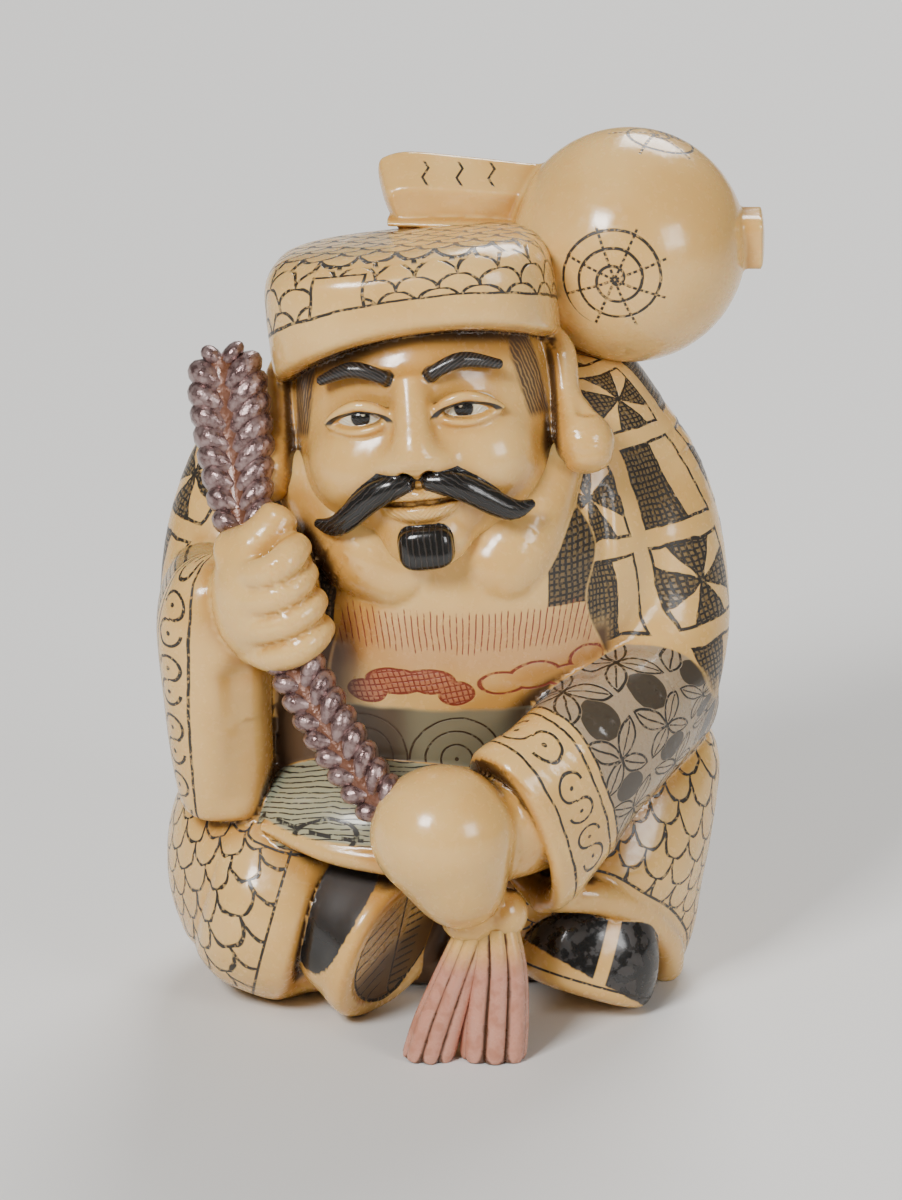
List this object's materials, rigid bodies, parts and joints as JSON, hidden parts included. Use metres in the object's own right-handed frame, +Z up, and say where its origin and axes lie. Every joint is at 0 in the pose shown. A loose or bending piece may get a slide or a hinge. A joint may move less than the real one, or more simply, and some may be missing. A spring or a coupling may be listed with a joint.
{
  "type": "seated lucky-god okimono figure",
  "caption": "Small cream resin figure of a seated, bearded lucky god in a flat cap, with a ball on the shoulder and a plaited cord held in both hands that ends in a tassel.",
  "frame": {"origin": "middle of the plan box, on the surface that the figure stands on", "axes": "+Z up, -Y out of the figure's front, +X towards the figure's own left, where the ball is"},
  "size_m": [0.053, 0.0472, 0.075],
  "materials": {
    "ivory_resin": "polished cream casting resin, amber in the creases, with fine dark painted line patterns"
  },
  "bodies": {
    "root": {"okimono": "ivory_resin"}
  },
  "joints": []
}
